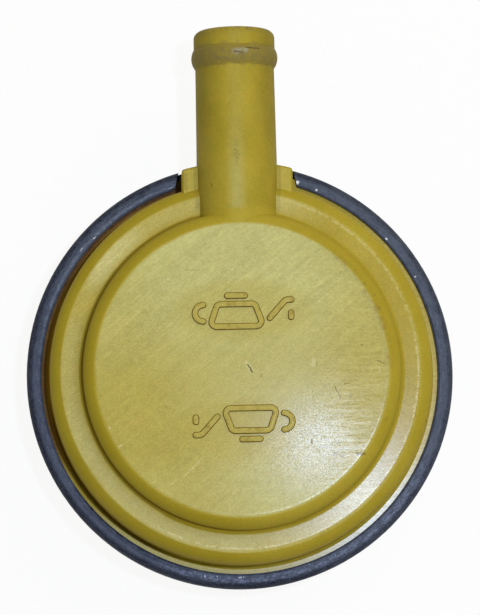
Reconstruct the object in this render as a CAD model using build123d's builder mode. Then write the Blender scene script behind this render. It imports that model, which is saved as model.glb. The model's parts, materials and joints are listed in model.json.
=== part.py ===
"""Oil filler cap with a breather hose spigot: moulded cover, rim seal, gauze pad and gauze plate."""

import os

from build123d import *

os.makedirs("parts", exist_ok=True)

# Frame: millimetres, z = 0 is the sealing plane under the rim seal, Z is the cap's axis, the spigot runs along +Y.

# Bayonet neck, which sets the radii of everything round it
neck_radius = 25.6
neck_wall = 2.2
neck_depth = 11.0
neck_end_chamfer = 0.6
bayonet_count = 2
bayonet_arc = 50.0
bayonet_reach = 2.4
bayonet_thickness = 3.0
bayonet_setback = 1.0
bayonet_ramp_length = 7.0
bayonet_ramp_drop = 1.0

# Stepped top of the cover and its flange, from the neck outwards
wall = 2.2
disc_overhang = 0.45
disc_height = 4.5
disc_crown = 0.3
disc_land = 0.3
disc_round = 2.3
disc_root_round = 0.8
shoulder_width = 5.4
shoulder_round = 2.3
skirt_height = 9.5
skirt_draft = 0.3
skirt_foot_chamfer = 0.5
flange_width = 2.45
flange_thickness = 2.5

# Hose spigot
spigot_drop = 2.2
spigot_length = 21.9
spigot_root_radius = 6.65
spigot_tip_radius = 6.53
spigot_nose_radius = 6.72
spigot_tip_round = 1.3
spigot_bore_radius = 4.2
bore_chamfer = 0.4
bead_setback = 4.7
bead_width = 3.3
bead_height = 0.53

# Lug that braces the spigot against the flange
lug_cheek = 2.5
lug_overhang = 0.65
lug_drop = 0.8
lug_corner_round = 0.5
lug_edge_round = 0.4

# Ribs between the neck and the skirt, and stops above the gauze pad
rib_count = 8
rib_thickness = 1.6
rib_setback = 3.0
stop_count = 4
stop_thickness = 1.8
stop_reach = 1.6

# Gauze pad, the plate under it and the nibs that hold the plate
gauze_thickness = 11.0
gauze_clearance = 0.3
plate_thickness = 1.0
plate_seat_depth = 3.0
plate_seat_step = 0.8
plate_clearance = 0.2
plate_hole_count = 6
plate_hole_radius = 4.4
plate_hole_circle = 14.0
nib_count = 4
nib_arc = 16.0
nib_reach = 0.6
nib_height = 1.0
nib_clearance = 0.1

# Rim seal, a U-section on the flange's edge
seal_wall = 1.0
seal_under_thickness = 2.0
seal_under_reach = 3.6
seal_over_thickness = 1.5
seal_over_reach = 1.2
seal_crown_round = 1.2
seal_lip_chamfer = 0.3
seal_foot_chamfer = 0.5
seal_groove_clearance = 0.3
seal_end_clearance = 0.1
seal_end_slant = 1.2

# Levels that follow from these sizes
ledge = seal_under_thickness + flange_thickness
shoulder = ledge + skirt_height
top = shoulder + disc_height
ceiling = top - wall
shoulder_ceiling = shoulder - wall
spigot_height = shoulder - spigot_drop
lug_top = shoulder - lug_drop
neck_end = -neck_depth
rib_foot = seal_under_thickness + rib_setback
plate_seat = neck_end + plate_seat_depth
plate_under = plate_seat - plate_thickness
gauze_top = plate_seat + gauze_thickness
seal_crown = ledge + seal_over_thickness

# Radii that follow from these sizes
disc_radius = neck_radius + disc_overhang
crown_radius = disc_radius - disc_round - disc_land
shoulder_radius = disc_radius + shoulder_width
skirt_radius = shoulder_radius + skirt_draft
skirt_inner_radius = skirt_radius - wall
flange_radius = skirt_radius + flange_width
lug_radius = flange_radius + lug_overhang
seal_groove_radius = flange_radius + seal_groove_clearance
seal_radius = seal_groove_radius + seal_wall
seal_under_inner_radius = flange_radius - seal_under_reach
seal_over_inner_radius = flange_radius - seal_over_reach
neck_inner_radius = neck_radius - neck_wall
plate_seat_radius = neck_inner_radius + plate_seat_step
groove_width = skirt_inner_radius - neck_radius
groove_radius = neck_radius + groove_width / 2

# Stations along the spigot's axis, and the width of the lug that it passes through
lug_width = 2 * (spigot_root_radius + lug_cheek)
spigot_reach = lug_radius + spigot_length
bead_start = spigot_reach - bead_setback - bead_width / 2
bead_end = bead_start + bead_width
bore_start = neck_inner_radius - spigot_bore_radius
spigot_axis = Axis((0, 0, spigot_height), (0, 1, 0))
spigot_plane = Plane((0, 0, spigot_height), x_dir=(0, 1, 0), z_dir=(-1, 0, 0))


# Lug on the flange, its outer face on the rim's circle, ending inside the skirt's wall
with BuildPart() as spigot_lug:
    with BuildSketch(Plane.XY.offset(seal_under_thickness)) as lug_outline:
        Circle(lug_radius)
        Rectangle(lug_width, lug_radius, align=(Align.CENTER, Align.MIN), mode=Mode.INTERSECT)
        Circle(skirt_radius - wall / 2, mode=Mode.SUBTRACT)
        fillet(lug_outline.vertices().group_by(Axis.Y)[-1], lug_corner_round)
    extrude(amount=lug_top - seal_under_thickness)
    lug_upper_edges = spigot_lug.faces().sort_by(Axis.Z)[-1].edges()
    fillet(lug_upper_edges.sort_by(Axis.Y)[1:], lug_edge_round)

# One bayonet lug, with a ramp at its leading end
with BuildPart() as bayonet_lug:
    with BuildSketch(Plane.XY.offset(neck_end + bayonet_setback)):
        with BuildLine():
            outer_arc = CenterArc((0, 0), neck_radius + bayonet_reach, -bayonet_arc / 2, bayonet_arc)
            inner_arc = CenterArc((0, 0), neck_radius - bayonet_reach / 2, -bayonet_arc / 2, bayonet_arc)
            Line(outer_arc @ 0, inner_arc @ 0)
            Line(outer_arc @ 1, inner_arc @ 1)
        make_face()
    extrude(amount=bayonet_thickness)
    leading_face = bayonet_lug.faces().sort_by(Axis.Y)[0]
    leading_edge = leading_face.edges().sort_by(Axis.Z)[-1]
    chamfer(leading_edge, bayonet_ramp_drop, bayonet_ramp_length, reference=leading_face)

# One snap nib under the gauze plate
with BuildPart() as plate_nib:
    nib_top = plate_under - nib_clearance
    nib_root_radius = (plate_seat_radius + neck_radius) / 2
    with BuildSketch(Plane.XZ):
        with BuildLine():
            Polyline(
                (nib_root_radius, nib_top),
                (plate_seat_radius - nib_reach, nib_top),
                (plate_seat_radius, nib_top - nib_height),
                (nib_root_radius, nib_top - nib_height),
                close=True,
            )
        make_face()
    revolve(axis=Axis.Z, revolution_arc=nib_arc)

# Cover: one moulding with the stepped top, the flange, the hose spigot and the bayonet neck
with BuildPart() as cover:
    with BuildSketch(Plane.XZ):
        with BuildLine():
            TangentArc((0, top + disc_crown), (crown_radius, top), tangent=(1, 0))
            FilletPolyline(
                (crown_radius, top),
                (disc_radius, top),
                (disc_radius, shoulder),
                (shoulder_radius, shoulder),
                (skirt_radius, ledge + skirt_foot_chamfer),
                radius=[disc_round, disc_root_round, shoulder_round],
            )
            Polyline(
                (skirt_radius, ledge + skirt_foot_chamfer),
                (skirt_radius + skirt_foot_chamfer, ledge),
                (flange_radius, ledge),
                (flange_radius, seal_under_thickness),
                (neck_radius, seal_under_thickness),
                (neck_radius, neck_end + neck_end_chamfer),
                (neck_radius - neck_end_chamfer, neck_end),
                (0, neck_end),
                (0, top + disc_crown),
            )
        make_face()
    revolve(axis=Axis.Z)

    # Ring-shaped hollow between the neck and the skirt, with ribs across it
    with BuildSketch(Plane.XZ):
        with BuildLine():
            Polyline(
                (neck_radius, seal_under_thickness),
                (skirt_inner_radius, seal_under_thickness),
                (skirt_inner_radius - skirt_draft, shoulder_ceiling),
                (neck_radius, shoulder_ceiling),
                close=True,
            )
        make_face()
    revolve(axis=Axis.Z, mode=Mode.SUBTRACT)
    with BuildSketch(Plane.XY.offset(rib_foot)):
        with PolarLocations(groove_radius, rib_count, start_angle=180 / rib_count):
            Rectangle(groove_width + wall, rib_thickness)
    extrude(amount=shoulder_ceiling + wall / 2 - rib_foot)

    # Spigot: a barrel with a slight draft, a hose bead near its end, and the lug that braces it
    with BuildSketch(spigot_plane):
        with BuildLine():
            Polyline((0, spigot_root_radius), (lug_radius, spigot_root_radius), (bead_start, spigot_tip_radius))
            SagittaArc((bead_start, spigot_tip_radius), (bead_end, spigot_nose_radius), bead_height)
            FilletPolyline(
                (bead_end, spigot_nose_radius),
                (spigot_reach, spigot_nose_radius),
                (spigot_reach, 0),
                radius=spigot_tip_round,
            )
            Polyline((spigot_reach, 0), (0, 0), (0, spigot_root_radius))
        make_face()
    revolve(axis=spigot_axis)
    add(spigot_lug.part)

    # Inside of the neck, with the step that the gauze plate seats on
    with BuildSketch(Plane.XZ):
        with BuildLine():
            Polyline(
                (0, neck_end),
                (plate_seat_radius, neck_end),
                (plate_seat_radius, plate_seat),
                (neck_inner_radius, plate_seat),
                (neck_inner_radius, ceiling),
                (0, ceiling),
                close=True,
            )
        make_face()
    revolve(axis=Axis.Z, mode=Mode.SUBTRACT)

    # Bore from the spigot's end into the neck
    with BuildSketch(spigot_plane):
        with BuildLine():
            Polyline(
                (bore_start, 0),
                (bore_start, spigot_bore_radius),
                (spigot_reach - bore_chamfer, spigot_bore_radius),
                (spigot_reach, spigot_bore_radius + bore_chamfer),
                (spigot_reach, 0),
                close=True,
            )
        make_face()
    revolve(axis=spigot_axis, mode=Mode.SUBTRACT)

    # Stops above the gauze pad, bayonet lugs and snap nibs
    with BuildSketch(Plane.XY.offset(gauze_top)):
        with PolarLocations(neck_inner_radius, stop_count, start_angle=180 / stop_count):
            Rectangle(2 * stop_reach, stop_thickness)
    extrude(amount=ceiling + wall / 2 - gauze_top)
    with PolarLocations(0, bayonet_count):
        add(bayonet_lug.part)
    with PolarLocations(0, nib_count, start_angle=180 / nib_count):
        add(plate_nib.part)
cover.part.label = "cover"
export_step(cover.part, "parts/cover.step")

# Rim seal: rubber U-section, cut away above the flange where the lug stands
with BuildPart() as rim_seal:
    with BuildSketch(Plane.XZ):
        with BuildLine():
            FilletPolyline(
                (seal_under_inner_radius, 0),
                (seal_radius - seal_foot_chamfer, 0),
                (seal_radius, seal_foot_chamfer),
                (seal_radius, seal_crown),
                (seal_over_inner_radius + seal_lip_chamfer, seal_crown),
                (seal_over_inner_radius, seal_crown - seal_lip_chamfer),
                (seal_over_inner_radius, ledge),
                (seal_groove_radius, ledge),
                (seal_groove_radius, seal_under_thickness),
                (seal_under_inner_radius, seal_under_thickness),
                radius=[0, 0, 0, seal_crown_round, 0, 0, 0, 0, 0, 0],
                close=True,
            )
        make_face()
    revolve(axis=Axis.Z)
    with BuildSketch(Plane.XY.offset(seal_under_thickness)):
        notch_outer_half = lug_width / 2 + seal_end_clearance
        notch_inner_half = notch_outer_half + seal_end_slant
        with BuildLine():
            Polyline(
                (-notch_outer_half, seal_radius),
                (notch_outer_half, seal_radius),
                (notch_inner_half, seal_under_inner_radius),
                (-notch_inner_half, seal_under_inner_radius),
                close=True,
            )
        make_face()
    extrude(amount=seal_crown - seal_under_thickness, mode=Mode.SUBTRACT)
rim_seal.part.label = "rim_seal"
export_step(rim_seal.part, "parts/rim_seal.step")

# Gauze pad: the outer form of the knitted wire, filling the neck between the plate and the stops
with BuildPart() as gauze_pad:
    with BuildSketch(Plane.XY.offset(plate_seat)):
        Circle(neck_inner_radius - gauze_clearance)
    extrude(amount=gauze_thickness)
gauze_pad.part.label = "gauze_pad"
export_step(gauze_pad.part, "parts/gauze_pad.step")

# Gauze plate: pressed steel disc with a ring of holes round a middle one
with BuildPart() as gauze_plate:
    with BuildSketch(Plane.XY.offset(plate_under)):
        Circle(plate_seat_radius - plate_clearance)
        Circle(plate_hole_radius, mode=Mode.SUBTRACT)
        with PolarLocations(plate_hole_circle, plate_hole_count):
            Circle(plate_hole_radius, mode=Mode.SUBTRACT)
    extrude(amount=plate_thickness)
gauze_plate.part.label = "gauze_plate"
export_step(gauze_plate.part, "parts/gauze_plate.step")
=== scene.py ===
"""Oil filler cap: finishes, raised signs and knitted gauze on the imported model, and a set to show it on."""

import json
import math
from functools import cached_property

import bmesh
import bpy
from mathutils import Matrix, Vector


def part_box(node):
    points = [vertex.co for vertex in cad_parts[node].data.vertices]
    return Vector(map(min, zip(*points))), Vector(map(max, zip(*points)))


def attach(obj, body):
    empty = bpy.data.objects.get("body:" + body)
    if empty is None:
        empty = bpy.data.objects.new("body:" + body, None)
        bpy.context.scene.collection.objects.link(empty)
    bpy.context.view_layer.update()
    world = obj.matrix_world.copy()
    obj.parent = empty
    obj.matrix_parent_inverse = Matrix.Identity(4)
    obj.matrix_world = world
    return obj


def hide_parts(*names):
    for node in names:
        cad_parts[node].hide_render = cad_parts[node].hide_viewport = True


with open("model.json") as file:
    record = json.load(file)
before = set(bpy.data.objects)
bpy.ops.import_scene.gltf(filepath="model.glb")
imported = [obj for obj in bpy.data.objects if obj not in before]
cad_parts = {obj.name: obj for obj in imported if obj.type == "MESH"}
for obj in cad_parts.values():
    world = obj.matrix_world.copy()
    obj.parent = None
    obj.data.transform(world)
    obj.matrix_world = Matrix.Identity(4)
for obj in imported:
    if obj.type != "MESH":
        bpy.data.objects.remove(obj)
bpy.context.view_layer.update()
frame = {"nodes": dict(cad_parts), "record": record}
cad_nodes = frame["nodes"]

MM = 0.001

# Places on the cap in millimetres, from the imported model
cover_low, cover_high = (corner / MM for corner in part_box("cover"))
pad_low, pad_high = (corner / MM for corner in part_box("gauze_pad"))
spigot_mount = next(mount for mount in frame["record"]["mounts"] if mount["name"] == "spigot_end")
spigot_height = spigot_mount["pos_m"][2] / MM
spigot_end = cover_high.y
pad_radius = pad_high.x

# Sizes of the cover and the seal in millimetres, which the finishes and the signs follow
disc_top = 18.5
disc_crown = 0.3
crown_radius = 23.45
disc_edge_radius = 23.75
disc_radius = 26.05
shoulder_top = 14.0
shoulder_middle = 28.15
shoulder_edge_radius = 29.15
skirt_radius = 31.75
lug_step = 0.8
lug_top = shoulder_top - lug_step
ledge_top = 4.5
seal_inner = 33.0
spigot_radius = 7.2
bead_setback = 4.7
bead_place = spigot_end - bead_setback
bead_width = 3.3
sign_distance = 9.7

# Small measures that the finishes share, in millimetres
flat_reach = 0.4
ragged_reach = 0.5
axis_guard = 0.1

# Gloss of the moulding and its signs
plastic_specular = 0.08


def colour(red, green, blue):
    """A colour given as it looks on screen, 0 to 255, as the light values that a shader takes."""

    def light(level):
        share = level / 255
        return share / 12.92 if share <= 0.04045 else ((share + 0.055) / 1.055) ** 2.4

    return (light(red), light(green), light(blue), 1.0)


class Value:
    """One socket among the nodes, so that maths on it is written as a Python expression."""

    def __init__(self, nodes, socket):
        self.nodes = nodes
        self.socket = socket

    def maths(self, operation, first, second=0.0):
        return self.nodes.add("ShaderNodeMath", {"operation": operation}, {0: first, 1: second})

    def __add__(self, other):
        return self.maths("ADD", self, other)

    def __sub__(self, other):
        return self.maths("SUBTRACT", self, other)

    def __rsub__(self, other):
        return self.maths("SUBTRACT", other, self)

    def __mul__(self, other):
        return self.maths("MULTIPLY", self, other)

    def __truediv__(self, other):
        return self.maths("DIVIDE", self, other)

    def __pow__(self, other):
        return self.maths("POWER", self, other)

    def __abs__(self):
        return self.maths("ABSOLUTE", self)

    def most(self, other):
        return self.maths("MAXIMUM", self, other)

    __radd__ = __add__
    __rmul__ = __mul__


class Nodes:
    """The nodes of a finish or of the light all round."""

    def __init__(self, tree):
        self.tree = tree

    def add(self, kind, settings, inputs, output=0):
        """Adds a node, sets it up, then gives its sockets their values or links."""
        node = self.tree.nodes.new(kind)
        for name, setting in settings.items():
            setattr(node, name, setting)
        for name, given in inputs.items():
            self.give(node.inputs[name], given)
        return Value(self, node.outputs[output])

    def give(self, socket, given):
        if isinstance(given, Value):
            self.tree.links.new(given.socket, socket)
        else:
            socket.default_value = given

    def mix(self, factor, first, second):
        """Goes from the first colour to the second."""
        settings = {"data_type": "RGBA", "clamp_factor": True}
        return self.add("ShaderNodeMix", settings, {0: factor, 6: first, 7: second}, 2)

    def in_view(self):
        """Is 1 for what the camera sees, also mirrored or through glass, and 0 for what only lights."""
        seen = self.add("ShaderNodeLightPath", {}, {}, "Is Camera Ray")
        mirrored = self.add("ShaderNodeLightPath", {}, {}, "Is Glossy Ray")
        through = self.add("ShaderNodeLightPath", {}, {}, "Is Transmission Ray")
        return seen.most(mirrored).most(through)


class Finish(Nodes):
    """A material under construction, with its places on the object in millimetres."""

    def __init__(self, name):
        self.material = bpy.data.materials.new(name)
        self.material.use_nodes = True
        super().__init__(self.material.node_tree)
        self.shader = self.tree.nodes["Principled BSDF"]

    @cached_property
    def place(self):
        place = self.add("ShaderNodeTexCoord", {}, {}, "Object")
        return self.add("ShaderNodeVectorMath", {"operation": "SCALE"}, {0: place, "Scale": 1 / MM})

    @cached_property
    def x(self):
        return self.part(self.place, "X")

    @cached_property
    def y(self):
        return self.part(self.place, "Y")

    @cached_property
    def z(self):
        return self.part(self.place, "Z")

    @cached_property
    def radius(self):
        return (self.x**2 + self.y**2) ** 0.5

    @cached_property
    def ragged_x(self):
        return self.x + (self.noise(1.7) - 0.5) * ragged_reach

    @cached_property
    def ragged_y(self):
        return self.y + (self.noise(2.3) - 0.5) * ragged_reach

    def part(self, vector, axis):
        return self.add("ShaderNodeSeparateXYZ", {}, {0: vector}, axis)

    def rise(self, value, low, high):
        """Goes smoothly from 0 at low to 1 at high."""
        settings = {"interpolation_type": "SMOOTHSTEP"}
        return self.add("ShaderNodeMapRange", settings, {0: value, 1: low, 2: high, 3: 0.0, 4: 1.0})

    def fall(self, value, low, high):
        """Goes smoothly from 1 at low to 0 at high."""
        return 1 - self.rise(value, low, high)

    def near(self, value, middle, reach):
        """Is 1 at the middle and falls smoothly to 0 at that reach to each side."""
        return self.fall(abs(value - middle), 0.0, reach)

    def noise(self, scale, detail=2.0, place=None, roughness=0.5):
        """Cloudy values about 0.5, with so many clouds to a millimetre."""
        inputs = {"Vector": place or self.place, "Scale": scale, "Detail": detail, "Roughness": roughness}
        return self.add("ShaderNodeTexNoise", {}, inputs)

    def drawn_out(self, degrees, clouds):
        """The place for marks in one direction: so many to a millimetre along, across and up."""
        inputs = {"Vector": self.place, "Rotation": (0.0, 0.0, math.radians(-degrees))}
        turned = self.add("ShaderNodeMapping", {"vector_type": "POINT"}, inputs)
        return self.add("ShaderNodeVectorMath", {"operation": "MULTIPLY"}, {0: turned, 1: clouds})

    def round_axis(self, along, across):
        """The place for marks that run round the cap's axis, on flat rings and on upright walls."""
        unit = self.radius.most(axis_guard) / along
        inputs = {0: self.x / unit, 1: self.y / unit, 2: (self.radius - self.z) * across}
        return self.add("ShaderNodeCombineXYZ", {}, inputs)

    def shade(self, tone, factor):
        """Makes a colour that many times as light."""
        return self.add("ShaderNodeVectorMath", {"operation": "SCALE"}, {0: tone, "Scale": factor})

    def cells(self, scale, output):
        inputs = {"Vector": self.place, "Scale": scale}
        return self.add("ShaderNodeTexVoronoi", {"feature": "F1"}, inputs, output)

    def specks(self, scale, size, share):
        """Scattered dots: so many cells to a millimetre, of which a share holds a dot of that size."""
        chance = self.part(self.cells(scale, "Color"), "X")
        dot = self.fall(self.cells(scale, "Distance"), size * scale * 0.5, size * scale)
        return dot * self.rise(chance, 1 - share, 1 - share + 0.02)

    def nick(self, middle, degrees, length, width):
        """One nick or scuff seen from above, with ragged sides."""
        along = Vector((math.cos(math.radians(degrees)), math.sin(math.radians(degrees))))
        from_x = self.ragged_x - middle[0]
        from_y = self.ragged_y - middle[1]
        run = from_x * along.x + from_y * along.y
        off = from_y * along.x - from_x * along.y
        over_run = (abs(run) - length / 2).most(0.0)
        away = (over_run**2 + off**2) ** 0.5
        return self.fall(away, width * 0.3, width)

    def nicks(self, marks):
        """Several nicks, each with its own strength."""
        found = self.nick(*marks[0][:4]) * marks[0][4]
        for *shape, strength in marks[1:]:
            found = found.most(self.nick(*shape) * strength)
        return found

    def sector(self, degrees, half_width, fade):
        """Where a place lies in that direction from the cap's axis, in degrees from +X."""
        towards = math.radians(degrees)
        lean = self.x * math.cos(towards) + self.y * math.sin(towards)
        low = math.cos(math.radians(half_width + fade))
        high = math.cos(math.radians(half_width))
        return self.rise(lean / self.radius.most(axis_guard), low, high)

    def sectors(self, start, changes):
        """A strength that changes from one direction to another."""
        strength = start
        for *direction, change in changes:
            strength = strength + self.sector(*direction) * change
        return strength

    def upward(self, low, high):
        """Where the surface faces up."""
        normal = self.add("ShaderNodeNewGeometry", {}, {}, "Normal")
        return self.rise(self.part(normal, "Z"), low, high)

    def bump(self, height, depth):
        """Feeds a height of 0 to 1, that deep in millimetres, to the shader's normal."""
        inputs = {"Height": height, "Distance": depth * MM, "Strength": 1.0}
        self.feed("Normal", self.add("ShaderNodeBump", {}, inputs))

    def feed(self, socket, given):
        self.give(self.shader.inputs[socket], given)


# Colours of the worn yellow moulding, some of them for painted light and shade
MUSTARD = colour(173, 155, 52)
OLIVE_MUSTARD = colour(165, 147, 43)
# The deep mustard below is painted shade on the walls.
SHADED_WALL_MUSTARD = colour(146, 129, 24)
ORANGE_MUSTARD = colour(178, 150, 48)
# The two chalk colours below stand for chalky wear and painted sheen on the flats.
PALE_CHALK_SHEEN = colour(196, 196, 134)
WARM_CHALK_SHEEN = colour(208, 202, 138)
RUSTY_MUSTARD = colour(174, 132, 40)
# The bright mustard below is painted light on the ledge.
PAINTED_LIGHT_MUSTARD = colour(204, 183, 84)
# The worn edge colour below also serves for painted glints on the rims.
WORN_EDGE_AND_GLINT = colour(226, 220, 168)
# The grime colour below also serves for painted shade in the crease and on the ledge.
GRIME_AND_SHADE = colour(75, 48, 13)
BEAD_GRIME = colour(120, 107, 60)
SCUFF_GREY = colour(158, 155, 132)
NICK_DARK = colour(88, 76, 44)
NICK_BROWN = colour(126, 104, 46)

# Marks on top of the cover: middle, direction, length and width in millimetres, and how plain they are
DARK_NICKS = (
    ((1.2, 0.1), -62, 1.5, 0.17, 0.85),
    ((2.95, -1.1), 60, 0.2, 0.26, 0.4),
    ((15.4, -4.1), -67, 2.2, 0.13, 0.55),
    ((22.6, 0.7), -27, 1.1, 0.17, 0.5),
    ((19.6, 3.6), 0, 0.1, 0.22, 0.45),
    ((16.65, -2.7), 0, 0.1, 0.24, 0.35),
    ((10.6, -3.0), 0, 0.1, 0.22, 0.3),
    ((12.1, 0.6), 80, 0.3, 0.18, 0.35),
    ((10.95, -11.95), -81, 0.7, 0.16, 0.8),
    ((-12.6, -5.9), 0, 0.1, 0.24, 0.4),
    ((30.3, -8.6), 0, 0.1, 0.28, 0.9),
    ((-4.4, 30.6), 100, 0.6, 0.15, 0.6),
    ((0.5, 52.25), -4, 1.6, 0.2, 0.8),
    ((2.8, 52.9), -3, 2.2, 0.18, 0.9),
)
BROWN_NICKS = (
    ((12.9, -12.95), 0, 0.9, 0.24, 0.45),
    ((14.7, -14.1), 10, 0.4, 0.4, 0.6),
    ((15.9, -14.4), 0, 0.3, 0.28, 0.6),
    ((18.9, -14.2), 6, 1.1, 0.34, 0.8),
    ((20.2, 13.7), 0, 0.1, 0.28, 0.6),
    ((18.8, 15.9), 0, 0.1, 0.26, 0.5),
    ((21.8, 11.8), 40, 0.3, 0.24, 0.5),
    ((22.6, 9.6), 60, 0.3, 0.26, 0.6),
    ((17.45, -4.6), 20, 0.4, 0.36, 0.3),
    ((-7.7, 16.4), -1, 2.2, 0.2, 0.25),
    ((23.2, -8.5), 0, 0.1, 0.26, 0.4),
    ((-8.6, 31.6), 88, 2.4, 0.5, 0.35),
)
PALE_SCUFFS = (
    ((11.5, 0.9), 75, 0.6, 0.55, 0.3),
    ((1.0, 0.4), -62, 1.6, 0.5, 0.28),
    ((-20.1, -12.1), 40, 0.7, 0.22, 0.4),
    ((-21.8, -9.1), 60, 0.3, 0.2, 0.35),
    ((-11.9, 14.9), 0, 0.1, 0.2, 0.4),
    ((-1.4, 16.4), 70, 0.2, 0.2, 0.45),
    ((22.3, -0.5), 95, 0.8, 0.2, 0.25),
    ((22.3, -6.6), 20, 0.2, 0.2, 0.35),
    ((-8.4, -15.8), 45, 4.4, 0.12, 0.35),
    ((-11.6, -18.2), 40, 1.4, 0.11, 0.3),
)

# The grey scuff on the bead: middle, direction, length and width in millimetres
BEAD_SCUFF = ((0.7, 52.5), 4, 2.0, 0.6)

# How the chalky bloom and painted sheen on the shoulder change: direction, half width and fade in degrees,
# and by how much
SHOULDER_BLOOM_AND_SHEEN = (
    (15, 38, 30, -0.4),
    (137, 3, 12, 0.32),
    (128, 26, 14, -0.16),
    (-70, 10, 14, -0.15),
    (172, 12, 15, -0.12),
)

# Direction of the brush marks over the disc, in degrees
brush_direction = 38


class YellowPlastic(Finish):
    """Satin mustard moulding: chalky where it is rubbed, grimy in its creases, scratched and nicked, with
    painted sheen on its flats and painted shade in its creases and on its left walls.
    """

    def __init__(self):
        super().__init__("yellow_plastic")
        self.make_textures()
        self.find_surfaces()
        tone = self.bare_tone()
        tone = self.bloomed(tone)
        tone = self.grained(tone)
        tone = self.rubbed_and_glinting_rims(tone)
        tone = self.grimy_and_shaded(tone)
        tone = self.grimy_bead(tone)
        tone = self.nicked(tone)
        self.feed("Base Color", tone)
        self.feed_gloss()

    def make_textures(self):
        """Noises that the looks are mixed from, some of them drawn out into strokes."""
        slanting = self.drawn_out(brush_direction, (0.2, 2.4, 1.0))
        sweeping = self.drawn_out(brush_direction, (0.05, 0.6, 1.0))
        self.clouds = self.noise(0.1)
        self.blotches = self.noise(0.42)
        self.mottle = self.noise(0.9, 3.0, roughness=0.65)
        self.grain = self.noise(1.0, 2.0, self.drawn_out(0, (2.8, 4.2, 3.2)), roughness=0.75)
        self.brushed = self.noise(1.0, 2.0, slanting, roughness=0.65)
        self.sweeps = self.noise(1.0, 2.0, sweeping)
        self.level = self.noise(1.0, 2.0, self.drawn_out(0, (0.28, 2.6, 1.0)), roughness=0.65)
        self.sparkle = self.noise(1.0, 1.0, self.drawn_out(0, (4.2, 5.6, 4.8)))

    def find_surfaces(self):
        """Where the flats, the walls and the spigot are, and the sides of the disc."""
        flats = self.upward(0.96, 0.999)
        self.on_disc = flats * self.fall(self.radius, disc_edge_radius, disc_edge_radius + 0.6)
        self.on_shoulder = flats * self.near(self.z, shoulder_top, flat_reach)
        self.on_lug = flats * self.near(self.z, lug_top, flat_reach)
        self.on_ledge = flats * self.near(self.z, ledge_top, flat_reach)
        self.rubbed = self.on_disc.most(self.on_shoulder).most(self.on_ledge)
        self.topside = self.rise(self.z, ledge_top + 1.0, ledge_top + 2.0)

        off_spigot = (self.x**2 + (self.z - spigot_height) ** 2) ** 0.5
        on_spigot = self.fall(off_spigot, spigot_radius, spigot_radius + 0.3)
        self.on_spigot = on_spigot * self.rise(self.y, disc_radius, disc_radius + 1.0)
        self.from_crest = abs(self.x + 0.3)
        self.near_root = self.fall(self.y, 28.0, 46.0)
        self.walls = (1 - self.upward(0.95, 0.995)) * (1 - self.on_spigot) * self.topside

        self.right_part = self.rise(self.x, 8.0, 20.0)
        self.upper_part = self.rise(self.y * 0.9 - self.x * 0.1, -2.0, 12.0)
        self.lined = (self.level - 0.5) * self.right_part * (1 - self.on_shoulder * 0.6)
        self.ragged_radius = self.radius + (self.mottle - 0.5) * 0.6

    def bare_tone(self):
        """The moulding's own colour, with painted shade on the walls: deeper, most of all at the left."""
        tone = self.mix(self.rise(self.clouds, 0.35, 0.65), OLIVE_MUSTARD, MUSTARD)
        tone = self.mix(self.rise(self.blotches, 0.45, 0.7) * 0.35, tone, ORANGE_MUSTARD)
        # Painted shade: the walls are mixed towards a darker mustard, most at the left, away from the lamps.
        return self.mix(self.walls * (0.28 + self.sector(190, 60, 40) * 0.36), tone, SHADED_WALL_MUSTARD)

    def disc_bloom_and_sheen(self):
        """Chalky bloom and painted sheen on the disc, thin at its left and right and round the signs."""
        left_part = self.rise(self.x * -0.94 + self.y * -0.34, 2.0, 18.0)
        lower_part = self.rise(self.y, -13.0, -20.0)
        bloom = 0.46 + self.upper_part * 0.24 + lower_part * 0.14
        bloom = bloom - left_part * 0.24 - self.right_part * 0.18
        from_sign = ((abs(self.y) - sign_distance) / 5.0) ** 2 + (self.x / 11.0) ** 2
        return bloom * (1 - self.fall(from_sign, 0.4, 1.5) * 0.35)

    def shoulder_bloom_and_sheen(self):
        """Chalky bloom and painted sheen on the shoulder, thin at its right, and with painted shade near the
        disc.
        """
        # Painted shade: less bloom near the disc's wall, except towards the lower right.
        inner_bare = 0.8 - self.sector(-55, 30, 25) * 0.35
        inner_part = self.fall(self.radius, disc_radius + 0.4, shoulder_middle)
        return self.sectors(0.44, SHOULDER_BLOOM_AND_SHEEN) * (1.15 - inner_bare * inner_part)

    def bloomed(self, tone):
        """Chalky bloom where hands and cloths rub, and painted sheen: paler flats, a painted highlight on the
        spigot's crest, and painted light on the lug tops and the ledge's right.
        """
        # A painted highlight with some chalk along the spigot's crest, strongest near its root.
        on_crest = self.on_spigot * self.near(self.from_crest, 0.0, 2.1)
        crest_chalk_and_highlight = on_crest * (0.07 + self.near_root * 0.26)
        # Painted sheen on the ledge at the lower right.
        ledge_chalk_and_sheen = self.sector(-80, 44, 20) * 0.48
        # The lug tops get a little chalk as painted light against the spigot's shade.
        chalk_and_sheen = self.on_disc * self.disc_bloom_and_sheen() + self.on_lug * 0.15 + crest_chalk_and_highlight
        warm_chalk_and_sheen = self.on_shoulder * self.shoulder_bloom_and_sheen() + self.on_ledge * ledge_chalk_and_sheen
        uneven = 0.7 + self.mottle * 0.6
        # Chalky wear and painted sheen, mixed over the flats.
        tone = self.mix(chalk_and_sheen * uneven, tone, PALE_CHALK_SHEEN)
        tone = self.mix(warm_chalk_and_sheen * uneven, tone, WARM_CHALK_SHEEN)
        # Painted light: the ledge at the right is brightened where it lies in shade.
        return self.mix(self.on_ledge * self.sector(8, 28, 25) * 0.85, tone, PAINTED_LIGHT_MUSTARD)

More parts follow.
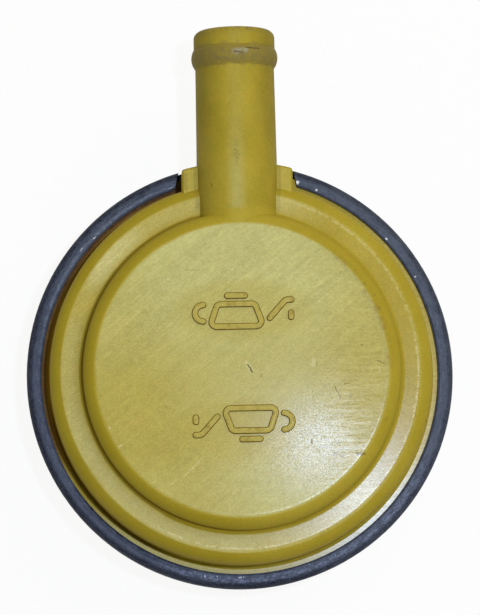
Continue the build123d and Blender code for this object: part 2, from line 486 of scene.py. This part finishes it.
    def grained(self, tone):
        """Grain of the worn skin, slanting brush marks, level ones at the right, and painted shade on the
        spigot's sides and the skirt's low part.
        """
        strokes = self.rise(self.brushed, 0.46, 0.74) - 0.3
        on_disc_top = self.on_disc * (1 + self.upper_part * 0.8)
        worked = (strokes * 0.07 + (self.sweeps - 0.5) * 0.14) * on_disc_top
        worked = worked + strokes * self.on_shoulder * self.sector(150, 45, 30) * 0.16
        worked = worked + self.lined * self.rubbed * 0.4 + (self.blotches - 0.5) * self.on_spigot * 0.15
        # The lug tops are also made lighter here, as painted light against the spigot's shade.
        worked = worked + (self.sparkle - 0.5) * self.rubbed * 0.3 + self.on_lug * 0.06
        skin = (self.grain - 0.5) * (0.4 + self.rubbed * 0.2) + (self.mottle - 0.5) * 0.14 + worked
        # Painted shade: the spigot a little darker, more so towards its sides, and the skirt darker towards
        # its foot.
        spigot_side_shade = self.rise(self.from_crest, 1.5, 6.0) * (0.26 - self.near_root * 0.17)
        low_skirt_shade = self.walls * self.fall(self.z, 8.0, 13.0) * 0.15
        return self.shade(tone, 1 + skin - self.on_spigot * (0.08 + spigot_side_shade) - low_skirt_shade)

    def rubbed_and_glinting_rims(self, tone):
        """Bright line along the rims of disc and shoulder at the lower right, worn and partly a painted
        glint, a painted highlight along the shoulder's rim at the upper right, and brown film at the disc's
        upper right.
        """
        # Painted glint, partly wear, along the rims facing the key lamp.
        disc_rim = self.near(self.ragged_radius, disc_edge_radius - 0.1, 0.22) * self.on_disc
        disc_rim = disc_rim * self.sector(-52, 22, 20)
        shoulder_rim = self.near(self.ragged_radius, shoulder_edge_radius - 0.1, 0.3) * self.on_shoulder
        shoulder_rim = shoulder_rim * self.sector(-58, 58, 15)
        broken = self.rise(self.grain + self.mottle * 0.6, 0.68, 0.95)
        tone = self.mix(disc_rim.most(shoulder_rim) * broken * 0.6, tone, WORN_EDGE_AND_GLINT)

        # Painted highlight along the shoulder's rounded rim at the upper right.
        soft_rim_highlight = self.near(self.radius, shoulder_edge_radius, 0.42) * self.on_shoulder
        patchy = self.rise(self.mottle * 0.6 + self.grain * 0.4, 0.36, 0.64)
        tone = self.mix(soft_rim_highlight * self.sector(36, 30, 15) * patchy * 0.5, tone, WARM_CHALK_SHEEN)

        film = self.near(self.ragged_radius, disc_edge_radius + 0.3, 1.2) * self.sector(28, 20, 14)
        filmy = self.rise(self.mottle + self.blotches * 0.5, 0.65, 0.95)
        return self.mix(film * filmy * 0.5, tone, NICK_BROWN)

    def crease_grime_and_shade(self):
        """Grime and painted shade in the crease round the disc and on the disc's wall above it, mostly at its
        left.
        """
        off_crease = ((self.radius - disc_radius - 0.2) ** 2 + (self.z - shoulder_top - 0.2) ** 2) ** 0.5
        # Painted shade with grime: a dark line in the crease, strongest at the left.
        line = self.fall(off_crease, 0.1, 0.8) * (0.08 + self.sector(165, 60, 35) * 0.4)
        # Painted shade: a soft darkening up the disc's wall at the left.
        film = self.fall(off_crease, 0.3, 3.2) * self.rise(self.z, shoulder_top + 0.1, shoulder_top + 0.6)
        return line.most(film * self.sector(190, 60, 40) * (1 - self.on_disc) * 0.6)

    def grimy_and_shaded(self, tone):
        """Grime and painted shade in the creases and on the ledge's left, thickest along the seal, with
        painted shadows at the skirt's foot and next to the seal, over a rusty brown tone where the wall's
        shadow falls.
        """
        by_seal = self.rise(self.radius, skirt_radius + 0.3, skirt_radius + 0.9)
        low_down = self.fall(self.z, ledge_top + 0.2, ledge_top + 1.2)
        low_down = low_down * self.rise(self.z, ledge_top - 1.0, ledge_top - 0.5)
        grimy_shaded_side = self.sector(152, 45, 15)
        # Grime along the seal and painted shade, on the ledge's shaded left side.
        ledge_grime_and_shade = low_down * by_seal * grimy_shaded_side * (0.95 - self.sector(185, 15, 20) * 0.15)
        # Painted shadow at the skirt's foot on the lower left.
        skirt_foot_shadow = self.fall(self.z, ledge_top + 1.4, ledge_top + 2.8)
        skirt_foot_shadow = skirt_foot_shadow * self.rise(self.z, ledge_top - 0.5, ledge_top)
        skirt_foot_shadow = skirt_foot_shadow * self.fall(self.radius, skirt_radius + 0.2, skirt_radius + 0.6)
        ledge_grime_and_shade = ledge_grime_and_shade.most(skirt_foot_shadow * self.sector(218, 20, 14) * 0.75)
        # Painted shadow on the ledge at the upper left, next to the seal.
        ledge_grime_and_shade = ledge_grime_and_shade.most(low_down * self.sector(130, 18, 12) * 0.6)
        # A rusty brown tone on the ledge's left, where the wall's shadow falls.
        tone = self.mix(low_down * grimy_shaded_side * 0.8, tone, RUSTY_MUSTARD)
        found = self.crease_grime_and_shade().most(ledge_grime_and_shade)
        return self.mix(found * (0.75 + self.mottle * 0.5), tone, GRIME_AND_SHADE)

    def grimy_bead(self, tone):
        """Grime that the hose left on the bead, with a dark line next to the tip, and a scuff."""
        off_bead = (self.y - bead_place) / (bead_width / 2)
        smears = self.rise(self.mottle * 0.7 + self.grain * 0.3, 0.38, 0.62)
        on_bead = self.fall(abs(off_bead) + (smears - 0.5) * 0.5, 0.7, 1.3)
        tip_dirt = self.rise(self.y, spigot_end - 1.8, spigot_end - 0.2) * smears
        tone = self.mix(on_bead.most(tip_dirt) * (0.5 + smears * 0.38), tone, BEAD_GRIME)
        tip_side_line = self.near(off_bead + (self.mottle - 0.5) * 0.8, 1.0, 0.2) * smears
        tone = self.mix(tip_side_line * 0.35, tone, GRIME_AND_SHADE)
        scuff = self.nick(*BEAD_SCUFF) * self.rise(self.mottle + self.grain * 0.5, 0.55, 0.85)
        return self.mix(scuff * self.topside * 0.75, tone, SCUFF_GREY)

    def nicked(self, tone):
        """Scuffs, nicks and specks on what faces up, with a row of small pits along the spigot."""
        marked = self.topside * self.upward(0.15, 0.45)
        pits = self.near(self.x, -0.25, 0.8) * self.near(self.y, 35.5, 3.4)
        pits = pits * self.rise(self.grain, 0.5, 0.62)
        self.dark_marks = self.nicks(DARK_NICKS).most(pits) * marked
        tone = self.mix(self.nicks(PALE_SCUFFS) * marked * (0.4 + self.grain), tone, WORN_EDGE_AND_GLINT)
        tone = self.mix(self.nicks(BROWN_NICKS) * marked, tone, NICK_BROWN)
        tone = self.mix(self.dark_marks, tone, NICK_DARK)
        return self.mix(self.specks(0.3, 0.15, 0.14) * 0.4, tone, NICK_BROWN)

    def feed_gloss(self):
        """A thin uneven sheen over a dull base, most of it on the flats and none in the dark nicks."""
        sheen = (self.sparkle - 0.5) * 2.8 + (self.grain - 0.5) * 1.2 + self.lined * 3.5
        sheen = 1 + sheen * (1 - self.on_shoulder * 0.3 - self.on_ledge * 0.7)
        coat = 0.015 + self.on_disc * 0.016 + self.on_shoulder * 0.02 + self.on_ledge * 0.032
        self.feed("Roughness", 0.58 + self.mottle * 0.1)
        self.feed("Specular IOR Level", plastic_specular)
        self.feed("Coat Weight", sheen.most(0.0) * (1 - self.dark_marks) * coat)
        self.feed("Coat Roughness", 0.147)
        self.bump(self.sparkle * 0.2 + self.grain * 0.15 + self.brushed * 0.15 + self.lined * 0.3, 0.007)


# Colours of the signs, with painted shade on their sides
SIGN_TOP = colour(176, 161, 76)
SIGN_DIRTY_TOP = colour(148, 130, 58)
SIGN_SIDE_SHADE = colour(108, 86, 32)


def sign_plastic():
    """The moulding's plastic on the raised signs: rubbed brownish on top, with painted shade along their
    sides.
    """
    finish = Finish("sign_plastic")
    mottle = finish.noise(0.9, 3.0, roughness=0.65)
    grain = finish.noise(4.0, 2.0)
    top = finish.mix(finish.rise(mottle + grain * 0.3, 0.62, 0.88), SIGN_TOP, SIGN_DIRTY_TOP)
    top = finish.shade(top, 0.85 + grain * 0.3)
    # Painted shade: what doesn't face up is darker.
    finish.feed("Base Color", finish.mix(finish.upward(0.6, 0.9), SIGN_SIDE_SHADE, top))
    finish.feed("Roughness", 0.55 + mottle * 0.12)
    finish.feed("Specular IOR Level", plastic_specular)
    finish.feed("Coat Weight", 0.03 * grain)
    finish.feed("Coat Roughness", 0.14)
    finish.bump(grain, 0.006)
    return finish.material


# Colours of the rim seal
SLATE_BLACK = colour(20, 23, 37)
SLATE_GREY = colour(88, 96, 112)
# The two colours below serve for dust and chalk and for painted sheen and highlights.
DUSTY_BLUE_SHEEN = colour(124, 136, 166)
CHALK_AND_HIGHLIGHT_STREAK = colour(122, 136, 152)
# The fleck colour below also serves for painted glints.
FLECK_AND_GLINT = colour(228, 232, 236)

# Pale chips and painted glints in the seal: middle, direction, length and width in millimetres, and how plain
# they are
PALE_CHIPS_AND_GLINTS = (
    ((-10.9, 31.2), 25, 0.7, 0.35, 1.0),
    ((-12.6, 30.4), 25, 0.2, 0.3, 1.0),
    ((-12.0, 30.8), 25, 1.6, 0.2, 0.6),
    ((10.3, 32.05), 60, 0.3, 0.35, 1.0),
    ((13.4, 30.7), 0, 0.1, 0.25, 0.7),
    ((24.9, 22.3), 0, 0.1, 0.2, 0.8),
    ((29.6, 15.9), 0, 0.1, 0.18, 0.7),
    ((-23.7, 23.3), 45, 0.2, 0.26, 1.0),
    ((-22.9, 24.05), 0, 0.1, 0.15, 0.7),
    ((-22.1, 24.85), 45, 0.3, 0.13, 0.5),
    ((-20.9, 25.8), 0, 0.1, 0.14, 0.5),
    ((-26.0, 21.5), 60, 0.5, 0.14, 0.45),
    ((-6.6, -33.2), 0, 0.1, 0.16, 0.7),
    ((-0.8, -33.6), 10, 0.3, 0.18, 0.8),
)


class BlackRubber(Finish):
    """Slate-black rubber with smears that run round the ring, painted sheen and shade by direction, and pale
    flecks and painted glints along its inner edge.
    """

    def __init__(self):
        super().__init__("black_rubber")
        self.clouds = self.noise(0.3, 3.0, roughness=0.6)
        self.grain = self.noise(2.6, 3.0, roughness=0.7)
        self.streaks = self.noise(1.0, 3.0, self.round_axis(22.0, 2.6), roughness=0.65)
        self.on_top = self.upward(0.75, 0.97)
        self.low_side = self.sector(-70, 30, 20)
        self.inner_edge = self.near(self.radius, seal_inner + 0.4, 0.7) * self.on_top
        tone = self.mix(self.dust_and_sheen_level(), SLATE_BLACK, SLATE_GREY)
        tone = self.dusted_and_highlit(tone)
        self.feed("Base Color", self.mix(self.flecks_and_glints(), tone, FLECK_AND_GLINT))
        self.feed("Roughness", 0.52 + (self.grain - 0.5) * 0.3)
        self.feed("Specular IOR Level", 0.1)
        self.bump(self.grain * 0.8 + self.streaks * 0.2, 0.03)

    def dust_and_sheen_level(self):
        """Dust and painted sheen on the inner and middle part of the top, changing by direction, with painted
        shade towards the outer edge, lighter as painted light at the right, and none underneath.
        """
        # Painted sheen and shade by direction: the inner part lighter at the upper left and darker at the
        # lower left.
        inner = 0.66 + self.sector(135, 15, 12) * 0.22 - self.sector(235, 12, 12) * 0.33
        middle = 0.66 + self.low_side * 0.06 - self.sector(142, 22, 12) * 0.18
        # Painted shade on the outer edge, with painted light at its right.
        outer = 0.2 + self.sector(0, 50, 25) * 0.18
        dust_and_sheen = inner + (middle - inner) * self.rise(self.radius, seal_inner + 0.6, seal_inner + 1.0)
        dust_and_sheen = dust_and_sheen + (outer - dust_and_sheen) * self.rise(self.radius, seal_inner + 1.2, seal_inner + 1.9)
        dust_and_sheen = dust_and_sheen * self.rise(self.z, ledge_top - 1.0, ledge_top + 0.5)
        uneven = (self.clouds - 0.5) * 0.4 + (self.streaks - 0.5) * 0.9 + (self.grain - 0.5) * 0.8
        return dust_and_sheen + uneven + self.specks(1.7, 0.14, 0.3) * self.on_top * 0.3

    def dusted_and_highlit(self, tone):
        """Bluish dust and painted sheen along the middle of the low side, and chalky dashes with painted
        highlights along the inner edge, most at the upper left.
        """
        middle_line = self.near(self.radius, seal_inner + 1.0, 0.8) * self.on_top
        # Painted sheen with dust, on the low side near the key lamp's highlight.
        low_dust_and_sheen = self.rise(self.grain + (self.streaks - 0.5) * 0.5, 0.44, 0.64) * self.low_side * middle_line
        dashes = self.rise(self.streaks * 0.6 + self.grain * 0.4, 0.42, 0.68)
        # Chalky dashes with painted highlights, strongest at the upper left.
        chalk_and_sheen = 0.1 + self.sector(160, 50, 30) * 0.2 + self.sector(130, 28, 16) * 0.3
        tone = self.mix(low_dust_and_sheen * 0.65, tone, DUSTY_BLUE_SHEEN)
        return self.mix(self.inner_edge * dashes * chalk_and_sheen, tone, CHALK_AND_HIGHLIGHT_STREAK)

    def flecks_and_glints(self):
        """Pale flecks and painted glints along the inner edge and strewn over the low side, and the chips."""
        # Pale flecks and painted glints, most strewn on the low side near the highlight.
        strewn = self.near(self.radius, seal_inner + 0.7, 1.1) * self.sector(-72, 45, 15)
        found = self.specks(0.8, 0.15, 0.1) * self.inner_edge
        found = found.most(self.specks(1.1, 0.13, 0.3) * strewn * 0.6)
        return found.most(self.nicks(PALE_CHIPS_AND_GLINTS) * self.on_top)


# Colours of the steel inside the neck
WIRE_STEEL = colour(176, 172, 164)
WIRE_OILED = colour(120, 104, 78)
PLATE_STEEL = colour(186, 186, 182)
PLATE_STAINED = colour(150, 138, 112)


def steel_wire():
    """Knitted wire, brownish where old oil has dried on it."""
    finish = Finish("steel_wire")
    clouds = finish.noise(0.25, 3.0)
    finish.feed("Base Color", finish.mix(finish.rise(clouds, 0.4, 0.65), WIRE_STEEL, WIRE_OILED))
    finish.feed("Metallic", 1.0)
    finish.feed("Roughness", 0.3 + clouds * 0.2)
    return finish.material


def plated_steel():
    """Dull plated sheet with rolling streaks and a dried oil film."""
    finish = Finish("plated_steel")
    clouds = finish.noise(0.12, 5.0, roughness=0.6)
    streaks = finish.noise(1.0, 2.0, finish.drawn_out(20, (0.08, 3.0, 1.0)))
    film = finish.rise(clouds + (streaks - 0.5) * 0.3, 0.36, 0.85) * 0.8
    finish.feed("Base Color", finish.mix(film, PLATE_STEEL, PLATE_STAINED))
    finish.feed("Metallic", 1.0)
    finish.feed("Roughness", 0.3 + streaks * 0.2 + clouds * 0.1)
    finish.bump(streaks, 0.006)
    return finish.material


def put_in_scene(name, data):
    """Makes an object of a mesh, curve, lamp or camera."""
    thing = bpy.data.objects.new(name, data)
    bpy.context.scene.collection.objects.link(thing)
    return thing


def add_piece(name, mesh, material):
    """Puts a finished mesh in the scene as a piece that rides with the cap."""
    mesh.materials.append(material)
    piece = put_in_scene(name, mesh)
    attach(piece, "root")
    return piece


# Raised lines of the signs, in millimetres, and the angle in degrees from which their edges are sharp
line_width = 0.84
line_height = 0.32
line_edge = 0.06
line_edge_corner = line_edge * 0.3
line_draft = 0.16
line_sink = 0.1
join_distance = 0.001
place_digits = 5
bend_steps = 8
sharp_angle = 40


class SignPen:
    """Draws one raised line over the disc: straight runs, bends and round ends, all of one section."""

    def __init__(self, place, heading, closed=False):
        self.mesh = bmesh.new()
        self.place = Vector((*place, 0.0))
        self.heading = math.radians(heading)
        self.closed = closed
        self.right = self.half_section(-1)
        self.left = self.half_section(1) if closed else self.swing(self.right, self.place, -math.pi)

    def half_section(self, side):
        """Half of the line's section, from the middle of its top out and down to the middle of its foot."""
        half = line_width / 2
        outline = (
            (0.0, line_height),
            (half - line_edge, line_height),
            (half - line_edge_corner, line_height - line_edge_corner),
            (half, line_height - line_edge),
            (half + line_draft, -line_sink),
            (0.0, -line_sink),
        )
        turn = self.heading + side * math.pi / 2
        sideways = Vector((math.cos(turn), math.sin(turn), 0.0))
        places = [self.place + sideways * out + Vector((0, 0, up)) for out, up in outline]
        corners = [self.mesh.verts.new(place) for place in places]
        return [self.mesh.edges.new(pair) for pair in zip(corners, corners[1:])]

    def swing(self, edges, centre, angle):
        """Turns a half section about an upright line, and gives the half section that it ends on."""
        corners = list(dict.fromkeys(corner for edge in edges for corner in edge.verts))
        swung = bmesh.ops.spin(
            self.mesh, geom=corners + edges, cent=centre, axis=(0, 0, 1), angle=angle, steps=bend_steps
        )
        return [part for part in swung["geom_last"] if isinstance(part, bmesh.types.BMEdge)]

    def stretch(self, edges, step):
        """Draws a half section out along a step, and gives the half section that it ends on."""
        drawn = bmesh.ops.extrude_edge_only(self.mesh, edges=edges)["geom"]
        corners = [part for part in drawn if isinstance(part, bmesh.types.BMVert)]
        bmesh.ops.translate(self.mesh, verts=corners, vec=step)
        ends = [part for part in drawn if isinstance(part, bmesh.types.BMEdge)]
        return [edge for edge in ends if all(corner in corners for corner in edge.verts)]

    def run(self, length):
        step = Vector((math.cos(self.heading), math.sin(self.heading), 0.0)) * length
        self.right = self.stretch(self.right, step)
        self.left = self.stretch(self.left, step)
        self.place += step
        return self

    def bend(self, radius, degrees):
        """Bends to the left by that many degrees, or to the right if they are below zero."""
        angle = math.radians(degrees)
        turn = self.heading + math.copysign(math.pi / 2, angle)
        centre = self.place + Vector((math.cos(turn), math.sin(turn), 0.0)) * radius
        self.right = self.swing(self.right, centre, angle)
        self.left = self.swing(self.left, centre, angle)
        self.place = centre + Matrix.Rotation(angle, 3, "Z") @ (self.place - centre)
        self.heading += angle
        return self

    def lift(self):
        """Ends the line, joins its halves and gives its mesh."""
        if not self.closed:
            self.swing(self.right, self.place, math.pi)
        bmesh.ops.remove_doubles(self.mesh, verts=self.mesh.verts, dist=join_distance)
        self.mesh.normal_update()
        bmesh.ops.recalc_face_normals(self.mesh, faces=self.mesh.faces)
        return self.mesh


def oil_can_lines():
    """A plain oil can: body, cap, handle, spout and a drop, as lines that don't touch."""
    body_corner = 0.8
    body_lean = 70
    body_side = 2.2
    body_top = 5.0
    body_foot = body_top + 2 * body_side * math.cos(math.radians(body_lean))
    cap_length = 2.9
    handle_radius = 1.35
    spout_lean = 48
    spout_length = 3.5
    spout_bend = 1.0
    spout_lip = 0.5
    drop_length = 0.7
    body = SignPen((-4.0, -3.0), 0, closed=True)
    body.run(body_foot).bend(body_corner, 180 - body_lean).run(body_side).bend(body_corner, body_lean)
    body.run(body_top).bend(body_corner, body_lean).run(body_side).bend(body_corner, 180 - body_lean)
    cap = SignPen((-2.2, 2.05), 0).run(cap_length)
    handle = SignPen((-6.15, 0.6), 180).bend(handle_radius, 180)
    spout = SignPen((4.7, -1.7), spout_lean)
    spout.run(spout_length).bend(spout_bend, -spout_lean).run(spout_lip)
    drop = SignPen((8.2, -1.6), 90).run(drop_length)
    return [pen.lift() for pen in (body, cap, handle, spout, drop)]


def crown_drop(place):
    """How far the disc's crowned top lies under its middle at that place."""
    return disc_crown * place.xy.length_squared / crown_radius**2


def settled_mesh(name, shape):
    """A mesh of a shape that is drawn in millimetres, its corners and faces in an order that never varies."""
    places = {corner: tuple(round(value, place_digits) for value in corner.co) for corner in shape.verts}
    corners = sorted(places, key=places.get)
    numbers = {corner: number for number, corner in enumerate(corners)}
    faces = []
    for face in shape.faces:
        ring = [numbers[corner] for corner in face.verts]
        first = ring.index(min(ring))
        faces.append(ring[first:] + ring[:first])
    mesh = bpy.data.meshes.new(name)
    mesh.from_pydata([Vector(places[corner]) * MM for corner in corners], [], sorted(faces))
    return mesh


def oil_can_sign(name, middle, degrees, material):
    """One raised sign on the disc's crowned top, centred on that place and turned about it."""
    sign = bmesh.new()
    for line in oil_can_lines():
        drawn = bpy.data.meshes.new(name)
        line.to_mesh(drawn)
        sign.from_mesh(drawn)
        line.free()
        bpy.data.meshes.remove(drawn)
    turned = Matrix.Rotation(math.radians(degrees), 4, "Z")
    onto_disc = Matrix.Translation((*middle, disc_top + disc_crown)) @ turned
    bmesh.ops.transform(sign, matrix=onto_disc, verts=sign.verts)
    for corner in sign.verts:
        corner.co.z -= crown_drop(corner.co)
    mesh = settled_mesh(name, sign)
    sign.free()
    mesh.shade_smooth()
    mesh.set_sharp_from_angle(angle=math.radians(sharp_angle))
    add_piece(name, mesh, material)


# Knitted gauze, in millimetres, and the turn from layer to layer in degrees
wire_thickness = 0.26
loop_pitch = 3.15
row_pitch = 2.4
layer_pitch = 1.15
layer_turn = 37
layer_shift = 0.8
loop_points = 12
loop_bulge = 0.62
loop_height = 1.9
loop_depth = 0.3
shortest_wire = loop_points // 3


def knitted_layer(curve, height, turn_degrees, shift):
    """One layer of plain knitting inside the pad's circle, row by row."""
    turn = Matrix.Rotation(math.radians(turn_degrees), 3, "Z")
    reach = pad_radius - wire_thickness
    rows = math.ceil(reach / row_pitch)
    steps = math.ceil(reach / loop_pitch) * loop_points
    for row in range(-rows, rows + 1):
        run = []
        for step in range(-steps, steps + 1):
            phase = math.tau * step / loop_points
            along = loop_pitch * (step / loop_points) + loop_bulge * math.sin(2 * phase) + shift
            across = row * row_pitch + loop_height * math.cos(phase)
            point = Vector((along, across, height + loop_depth * math.cos(2 * phase)))
            if point.xy.length < reach:
                run.append(turn @ point)
            elif run:
                add_wire(curve, run)
                run = []
        if run:
            add_wire(curve, run)


def add_wire(curve, run):
    """Adds one wire through the points of a run, unless the run is only a scrap at the circle's edge."""
    if len(run) < shortest_wire:
        return
    spline = curve.splines.new("POLY")
    spline.points.add(len(run) - 1)
    for point, place in zip(spline.points, run):
        point.co = (*(place * MM), 1.0)


def knitted_gauze(material):
    """Layers of knitted wire that fill the form of the gauze pad."""
    curve = bpy.data.curves.new("gauze_wire", "CURVE")
    curve.dimensions = "3D"
    curve.bevel_depth = wire_thickness / 2 * MM
    curve.bevel_resolution = 0
    curve.use_fill_caps = True
    room = wire_thickness / 2 + loop_depth
    layers = int((pad_high.z - pad_low.z - 2 * room) / layer_pitch)
    for layer in range(layers + 1):
        height = pad_low.z + room + layer * layer_pitch
        knitted_layer(curve, height, layer * layer_turn, (layer % 3 - 1) * layer_shift)
    drawn = put_in_scene("gauze_curve", curve)
    mesh = bpy.data.meshes.new_from_object(drawn.evaluated_get(bpy.context.evaluated_depsgraph_get()))
    bpy.data.objects.remove(drawn)
    bpy.data.curves.remove(curve)
    mesh.materials.clear()
    mesh.shade_smooth()
    piece = add_piece("gauze_wire", mesh, material)
    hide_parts("gauze_pad")


# The floor, in millimetres, and how much of it is plain white to the camera
WHITE = (1.0, 1.0, 1.0, 1.0)
FLOOR_PALE = colour(240, 240, 240)
floor_size = 4000.0
floor_gap = 0.05
floor_level = cover_low.z - floor_gap
floor_glow = 0.92


def pale_floor():
    """A white floor under the cap that keeps a soft shadow."""
    plane = bmesh.new()
    bmesh.ops.create_grid(plane, x_segments=1, y_segments=1, size=floor_size / 2 * MM)
    bmesh.ops.translate(plane, verts=plane.verts, vec=(0, 0, floor_level * MM))
    mesh = bpy.data.meshes.new("floor")
    plane.to_mesh(mesh)
    plane.free()
    floor = put_in_scene("floor", mesh)
    finish = Finish("floor_white")
    matt = finish.add("ShaderNodeBsdfDiffuse", {}, {"Color": FLOOR_PALE})
    glow = finish.add("ShaderNodeEmission", {}, {"Color": WHITE, "Strength": 1.0})
    shown = finish.add("ShaderNodeMixShader", {}, {0: finish.in_view() * floor_glow, 1: matt, 2: glow})
    finish.give(finish.tree.nodes["Material Output"].inputs["Surface"], shown)
    mesh.materials.append(finish.material)


# Lamps: places and sizes in millimetres, power in watts
lamp_aim = Vector((0.0, 0.0, 10.0))
key_place = (59.3, 3.8, 602.0)
key_size = 25.0
key_power = 1.92
key_tint = (0.89, 0.97, 1.28)
glint_power = 0.85
glint_tint = (0.0, 0.34, 1.0)
soft_place = (380.0, 420.0, 500.0)
soft_size = 500.0
soft_power = 1.5
warm_tint = (1.13, 1.04, 0.66)
even_light = 0.27


def area_lamp(name, place, size, power, tint):
    lamp = bpy.data.lights.new(name, "AREA")
    lamp.shape = "DISK"
    lamp.size = size * MM
    lamp.energy = power
    lamp.color = tint
    holder = put_in_scene(name, lamp)
    holder.location = Vector(place) * MM
    holder.rotation_euler = (lamp_aim - Vector(place)).to_track_quat("-Z", "Y").to_euler()
    return holder


def studio_light():
    """A small cool lamp over the right, a soft warm one from the upper right, and warm light all round."""
    area_lamp("key_lamp", key_place, key_size, key_power, key_tint)

    # Where the key lamp stands, a blue one that shows only in the gloss
    glint = area_lamp("glint_lamp", key_place, key_size, glint_power, glint_tint)
    glint.visible_diffuse = False

    area_lamp("soft_lamp", soft_place, soft_size, soft_power, warm_tint)
    world = bpy.data.worlds.new("even_light")
    bpy.context.scene.world = world
    world.use_nodes = True
    around = Nodes(world.node_tree)
    seen = around.in_view()
    backdrop = world.node_tree.nodes["Background"]
    around.give(backdrop.inputs["Color"], around.mix(seen, (*warm_tint, 1.0), WHITE))
    around.give(backdrop.inputs["Strength"], even_light + seen * (1 - even_light))


# The camera: places, film and lens in millimetres, roll in radians, clip distances in metres
camera_place = Vector((-20.13, -44.2, 602.0))
camera_aim = Vector((0.07, 10.9, 10.0))
camera_roll = -0.0226
film_height = 36.0
lens = 210.5
clip_near = 0.01
clip_far = 20.0


def view_camera():
    """The camera looks almost straight down, with the spigot leaning a little to the left."""
    forward = (camera_aim - camera_place).normalized()
    right = forward.cross(Vector((0, 1, 0))).normalized()
    up = right.cross(forward)
    facing = Matrix((right, up, -forward)).transposed()
    facing = Matrix.Rotation(camera_roll, 3, -forward) @ facing
    data = bpy.data.cameras.new("camera")
    data.sensor_fit = "VERTICAL"
    data.sensor_height = film_height
    data.lens = lens
    data.clip_start = clip_near
    data.clip_end = clip_far
    camera = put_in_scene("camera", data)
    camera.matrix_world = Matrix.Translation(camera_place * MM) @ facing.to_4x4()
    bpy.context.scene.camera = camera


cad_nodes["cover"].material_slots[0].material = YellowPlastic().material
cad_nodes["rim_seal"].material_slots[0].material = BlackRubber().material
cad_nodes["gauze_plate"].material_slots[0].material = plated_steel()
raised = sign_plastic()
oil_can_sign("sign_upper", (-0.1, 10.0), 0, raised)
oil_can_sign("sign_lower", (0.4, -9.35), 180, raised)
knitted_gauze(steel_wire())
pale_floor()
studio_light()
view_camera()
bpy.context.scene.view_settings.view_transform = "Standard"
